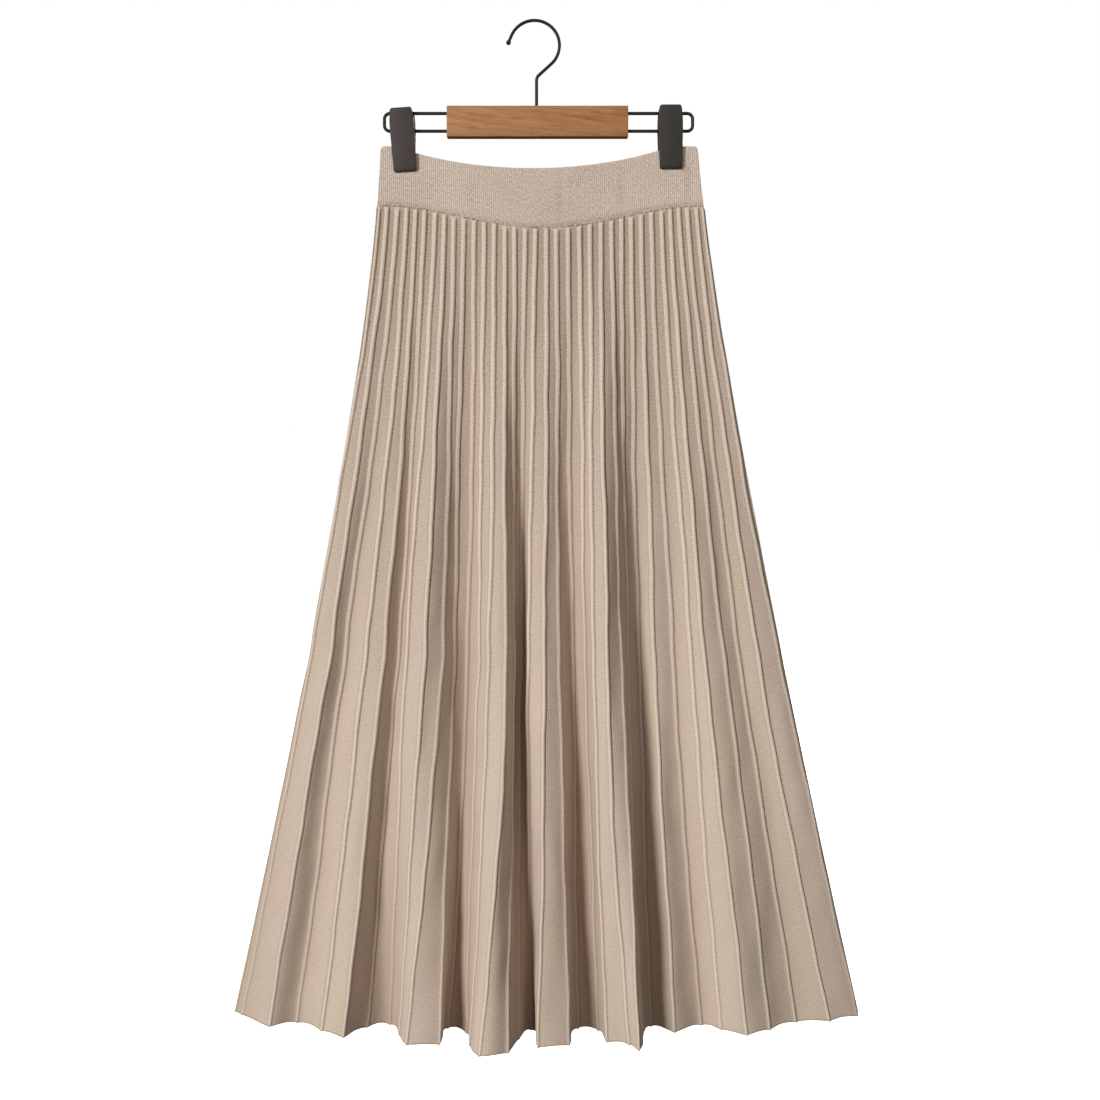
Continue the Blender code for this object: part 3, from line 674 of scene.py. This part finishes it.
def buildHook():
    work = bmesh.new()
    bmesh.ops.create_circle(work, segments=20, radius=hook["wire"] * mm, matrix=Matrix.Translation(
        (hook["stemX"] * mm, 0, hook["stemLow"] * mm)))
    ring = stretchOn(work, list(work.edges), (0, 0, (hook["stemHigh"] - hook["stemLow"]) * mm))
    ring = bendOn(work, ring, ((hook["stemX"] + hook["bend"]) * mm, 0, hook["stemHigh"] * mm), (0, 1, 0),
                  hook["bendTurn"], 10)
    bent = math.radians(hook["bendTurn"])
    start = Vector((hook["stemX"] + hook["bend"] * (1 - math.cos(bent)), 0,
                    hook["stemHigh"] + hook["bend"] * math.sin(bent)))
    meet = Vector((hook["radius"] * math.cos(-bent), 0,
                   hook["centreZ"] + hook["radius"] * math.sin(-bent)))
    ring = stretchOn(work, ring, (meet - start) * mm)
    ring = bendOn(work, ring, (0, 0, hook["centreZ"] * mm), (0, -1, 0), hook["turn"], 56)
    wound = math.radians(hook["turn"] - hook["bendTurn"])
    tip = Vector((-math.sin(wound), 0, math.cos(wound)))
    ring = stretchOn(work, ring, tip * (hook["tipReach"] - hook["ballOut"]) * mm)
    reach, width = 0.0, hook["wire"]
    for turn in (-42, -25, -8, 10, 28, 46, 64, 80):
        rise = hook["ballOut"] + hook["ball"] * math.sin(math.radians(turn))
        wide = hook["ball"] * math.cos(math.radians(turn))
        ring = stretchOn(work, ring, tip * (rise - reach) * mm)
        verts = list({v for e in ring for v in e.verts})
        middle = sum((v.co for v in verts), Vector()) / len(verts)
        bmesh.ops.scale(work, vec=(wide / width,) * 3, verts=verts, space=Matrix.Translation(-middle))
        reach, width = rise, wide
    closeEnds(work)
    return finishPiece("hookWire", work, wireMaterial, "hanger_hook")


bar = {
    "left": -87.5, "right": 93.5, "top": -84.9, "bottom": -115.9, "thick": 11.0, "edge": 0.9,
    "room": 0.3, "loopDepth": 24.5, "stemTop": -80.0,
}
wireLoop = {
    "wire": 1.65, "upper": -91.5, "lower": -109.2, "corner": 5.5,
    "leftEnd": -150.0, "rightEnd": 158.1,
}


def drill(radius, start, stop):
    # a plain round cutter from start to stop
    a, b = Vector(start) * mm, Vector(stop) * mm
    work = bmesh.new()
    turn = (b - a).to_track_quat("Z", "Y").to_matrix().to_4x4()
    bmesh.ops.create_cone(work, cap_ends=True, segments=28, radius1=radius * mm, radius2=radius * mm,
                          depth=(b - a).length, matrix=Matrix.Translation((a + b) / 2) @ turn)
    mesh = bpy.data.meshes.new("drill")
    work.to_mesh(mesh)
    work.free()
    tool = bpy.data.objects.new("drill", mesh)
    bpy.context.collection.objects.link(tool)
    return tool


def buildBar():
    left, right = bar["left"], bar["right"]
    work = bmesh.new()
    bmesh.ops.create_cube(work, size=1.0)
    size = Vector((right - left, bar["thick"], bar["top"] - bar["bottom"])) * mm
    bmesh.ops.scale(work, vec=size, verts=work.verts)
    middle = Vector(((left + right) / 2, 0, (bar["top"] + bar["bottom"]) / 2)) * mm
    bmesh.ops.translate(work, verts=work.verts, vec=middle)
    bmesh.ops.bevel(work, geom=work.edges, offset=bar["edge"] * mm, segments=3, profile=0.5, material=-1,
                    affect="EDGES")
    piece = finishPiece("woodBar", work, woodMaterial, "hanger_bar", sharpAngle=50.0)
    tools = [drill(hook["wire"] + bar["room"], (hook["stemX"], 0, hook["stemLow"] - bar["room"]),
                   (hook["stemX"], 0, bar["stemTop"]))]
    deep, past = bar["loopDepth"] + bar["room"], 5
    for z in (wireLoop["upper"], wireLoop["lower"]):
        bore = wireLoop["wire"] + bar["room"]
        tools.append(drill(bore, (left - past, 0, z), (left + deep, 0, z)))
        tools.append(drill(bore, (right - deep, 0, z), (right + past, 0, z)))
    for tool in tools:
        cutout = piece.modifiers.new("bore", "BOOLEAN")
        cutout.operation, cutout.solver, cutout.object = "DIFFERENCE", "EXACT", tool
    bakeModifiers(piece, 50.0)
    for tool in tools:
        bpy.data.objects.remove(tool, do_unlink=True)
    return piece


def buildLoop(name, node, innerX, outerX):
    way = 1 if outerX > innerX else -1
    corner, upper, lower = wireLoop["corner"], wireLoop["upper"], wireLoop["lower"]
    bendX = (outerX - way * corner) * mm
    work = bmesh.new()
    bmesh.ops.create_circle(work, segments=18, radius=wireLoop["wire"] * mm, matrix=Matrix.Translation(
        (innerX * mm, 0, upper * mm)) @ Matrix.Rotation(math.radians(90), 4, "Y"))
    ring = stretchOn(work, list(work.edges), (bendX - innerX * mm, 0, 0))
    ring = bendOn(work, ring, (bendX, 0, (upper - corner) * mm), (0, way, 0), 90, 10)
    ring = stretchOn(work, ring, (0, 0, (lower - upper + 2 * corner) * mm))
    ring = bendOn(work, ring, (bendX, 0, (lower + corner) * mm), (0, way, 0), 90, 10)
    stretchOn(work, ring, (innerX * mm - bendX, 0, 0))
    closeEnds(work)
    return finishPiece(name, work, wireMaterial, node)


buildHook()
buildBar()
buildLoop("wireLoopLeft", "wire_loop_left", bar["left"] + bar["loopDepth"], wireLoop["leftEnd"])
buildLoop("wireLoopRight", "wire_loop_right", bar["right"] - bar["loopDepth"], wireLoop["rightEnd"])
print("hook, bar and wire loops made")

clips = {
    # side, place across, height of the top, lean of the front jaw, lean and step aside of the back jaw
    "places": (("left", -132.2, -87.2, 4.0, 1.6, 0.4), ("right", 135.6, -84.4, 0.6, -0.4, 0.0)),
    # mm below the top, half width, inner and outer distance from the middle plane
    "jaw": ((0.0, 9.4, 6.2, 8.3), (1.2, 10.6, 6.0, 8.6), (3.5, 11.3, 4.6, 8.6), (13.0, 12.1, 4.3, 8.0),
            (24.0, 12.2, 4.3, 7.6), (38.0, 11.8, 3.6, 7.0), (59.0, 11.4, 3.5, 6.6), (63.2, 11.0, 3.5, 6.0)),
    "edge": 1.0,
    "lugNear": 6.5, "lugFar": 9.4, "lugDeep": 5.5, "lugMeet": 0.2, "lugEdge": 0.4,
    "room": 0.35,                               # between the lugs and the loop's wires
    "coil": 3.3, "coilWire": 0.6, "turns": 6, "half": 4.3,
}


def jawPlace(x, top, lean, step, mid):
    # the jaw leans round the pin, which lies mid below its top
    pivot = Vector((0, 0, mid * mm))
    move = Matrix.Translation(Vector(((x + step) * mm, 0, top * mm)))
    return (move @ Matrix.Translation(pivot) @ Matrix.Rotation(math.radians(-lean), 4, "Y")
            @ Matrix.Translation(-pivot))


def addLug(work, face, way, placing, lugLow, lugTop):
    across = sorted((way * clips["lugNear"], way * clips["lugFar"]))
    out = sorted((face * clips["lugMeet"], face * clips["lugDeep"]))
    low = Vector((across[0], out[0], lugLow))
    high = Vector((across[1], out[1], lugTop))
    lug = bmesh.ops.create_cube(work, size=1.0, matrix=placing @ Matrix.Translation((low + high) / 2 * mm)
                                @ Matrix.Diagonal((*(high - low) * mm, 1.0)))["verts"]
    bmesh.ops.bevel(work, geom=list({e for v in lug for e in v.link_edges}), offset=clips["lugEdge"] * mm,
                    segments=2, profile=0.5, material=-1, affect="EDGES")


def buildJaw(name, node, face, placing, lugPlacing, lugLow, lugTop):
    # a slab drawn down row by row, then its edges rounded, with the two lugs that hold the spring's pin
    work = bmesh.new()
    below, half, inner, outer = clips["jaw"][0]
    corners = ((-half, inner), (half, inner), (half, outer), (-half, outer))
    ring = [work.verts.new(Vector((x, face * y, -below)) * mm) for x, y in corners]
    end = work.faces.new(ring)
    for below, half, inner, outer in clips["jaw"][1:]:
        corners = ((-half, inner), (half, inner), (half, outer), (-half, outer))
        end = bmesh.ops.extrude_discrete_faces(work, faces=[end])["faces"][0]
        for v, (x, y) in zip(end.verts, corners):
            v.co = Vector((x, face * y, -below)) * mm
    work.verts.ensure_lookup_table()
    first = set(work.verts[:4])
    if not any(set(f.verts) == first for f in work.faces):
        work.faces.new(work.verts[:4])
    bmesh.ops.recalc_face_normals(work, faces=work.faces)
    sharp = [e for e in work.edges if e.calc_face_angle(0) > math.radians(40)]
    bmesh.ops.bevel(work, geom=sharp, offset=clips["edge"] * mm, segments=3, profile=0.5, material=-1,
                    affect="EDGES", clamp_overlap=True)
    bmesh.ops.transform(work, matrix=placing, verts=work.verts)
    for way in (-1, 1):
        addLug(work, face, way, lugPlacing, lugLow, lugTop)
    return finishPiece(name, work, clipMaterial, node)


def buildSpring(name, node, placing, mid):
    # a coil of spring wire round the pin between the jaws
    work = bmesh.new()
    start = Vector((-clips["half"], 0, mid + clips["coil"])) * mm
    bmesh.ops.create_circle(work, segments=8, radius=clips["coilWire"] * mm,
                            matrix=placing @ Matrix.Translation(start))
    axis = (placing.to_3x3() @ Vector((1, 0, 0))).normalized()
    bmesh.ops.rotate(work, verts=work.verts, cent=placing @ start,
                     matrix=Matrix.Rotation(math.radians(90), 3, axis))
    steps = clips["turns"] * 16
    bmesh.ops.spin(work, geom=list(work.verts) + list(work.edges), cent=placing @ Vector((0, 0, mid * mm)),
                   axis=axis, dvec=axis * (2 * clips["half"] * mm / steps),
                   angle=2 * math.pi * clips["turns"], steps=steps, use_duplicate=False)
    closeEnds(work)
    return finishPiece(name, work, springMaterial, node)


for side, x, top, lean, backLean, backStep in clips["places"]:
    mid = (wireLoop["upper"] + wireLoop["lower"]) / 2 - top
    clear = wireLoop["wire"] + clips["room"]
    lugTop, lugLow = wireLoop["upper"] - clear - top, wireLoop["lower"] + clear - top
    label = side.capitalize()
    buildJaw("clipFront" + label, f"clip_{side}_front", -1, jawPlace(x, top, lean, 0.0, mid),
             jawPlace(x, top, 0.0, 0.0, mid), lugLow, lugTop)
    buildJaw("clipBack" + label, f"clip_{side}_back", 1, jawPlace(x, top, backLean, backStep, mid),
             jawPlace(x, top, 0.0, backStep, mid), lugLow, lugTop)
    buildSpring("clipSpring" + label, f"clip_{side}_spring", jawPlace(x, top, lean, 0.0, mid), mid)
print("clips made")


studio = {
    "floor": -1.25, "floorRadius": 9.0, "floorGlow": 0.9,
    "aim": (0.0, 0.0, -0.55),
    "air": 0.095,
    # name, place, size, power and tone
    "lights": (("key", (-6.0, -6.5, 2.45), 2.6, 800.0, (1.0, 1.0, 1.0)),
               ("fill", (0.6, -1.7, 0.5), 1.0, 9.0, (1.0, 0.95, 0.9)),
               ("rear", (1.6, 3.0, 0.6), 1.6, 135.0, (1.0, 1.0, 1.0))),
}
view = {"place": (0.0155, -1.2, -0.418), "lens": 39.27, "shift": -0.10}


def areaLight(name, place, size, power, tone):
    light = bpy.data.lights.new(name, "AREA")
    light.color = tone
    light.shape, light.size, light.energy = "SQUARE", size, power
    lamp = bpy.data.objects.new(name, light)
    lamp.location = place
    lamp.rotation_euler = (Vector(studio["aim"]) - Vector(place)).to_track_quat("-Z", "Y").to_euler()
    bpy.context.collection.objects.link(lamp)


def paleFloor():
    work = bmesh.new()
    bmesh.ops.create_circle(work, cap_ends=True, segments=96, radius=studio["floorRadius"],
                            matrix=Matrix.Translation((0, 0, studio["floor"])))
    mesh = bpy.data.meshes.new("floor")
    work.to_mesh(mesh)
    work.free()
    floor = bpy.data.objects.new("floor", mesh)
    bpy.context.collection.objects.link(floor)
    # flat white paint, bright enough to run into the air behind it
    mat, shader = newMaterial("palePaintedFloor")
    shader.inputs["Base Color"].default_value = colour("f4f4f4")
    shader.inputs["Roughness"].default_value = 0.9
    shader.inputs["Emission Color"].default_value = (1.0, 1.0, 1.0, 1.0)
    shader.inputs["Emission Strength"].default_value = studio["floorGlow"]
    mesh.materials.append(mat)
    floor.visible_diffuse = floor.visible_glossy = False


def airLight():
    # the air is white to the eye and gives a softer, warmer light to the object
    world = bpy.data.worlds.new("studioAir")
    bpy.context.scene.world = world
    world.use_nodes = True
    seen = addNode(world, "ShaderNodeLightPath").outputs["Is Camera Ray"]
    back, links = world.node_tree.nodes["Background"], world.node_tree.links
    links.new(mix(world, seen, (1.0, 0.91, 0.82, 1.0), (1.0, 1.0, 1.0, 1.0)), back.inputs["Color"])
    links.new(rerange(world, seen, studio["air"], 1.0), back.inputs["Strength"])


for light in studio["lights"]:
    areaLight(*light)
paleFloor()
airLight()
bpy.context.scene.view_settings.view_transform = "Standard"

camera = bpy.data.cameras.new("camera")
camera.lens, camera.sensor_width, camera.shift_y = view["lens"], 36.0, view["shift"]
eye = bpy.data.objects.new("camera", camera)
eye.location, eye.rotation_euler = view["place"], (math.radians(90), 0, 0)
bpy.context.collection.objects.link(eye)
bpy.context.scene.camera = eye

print("scene ready")
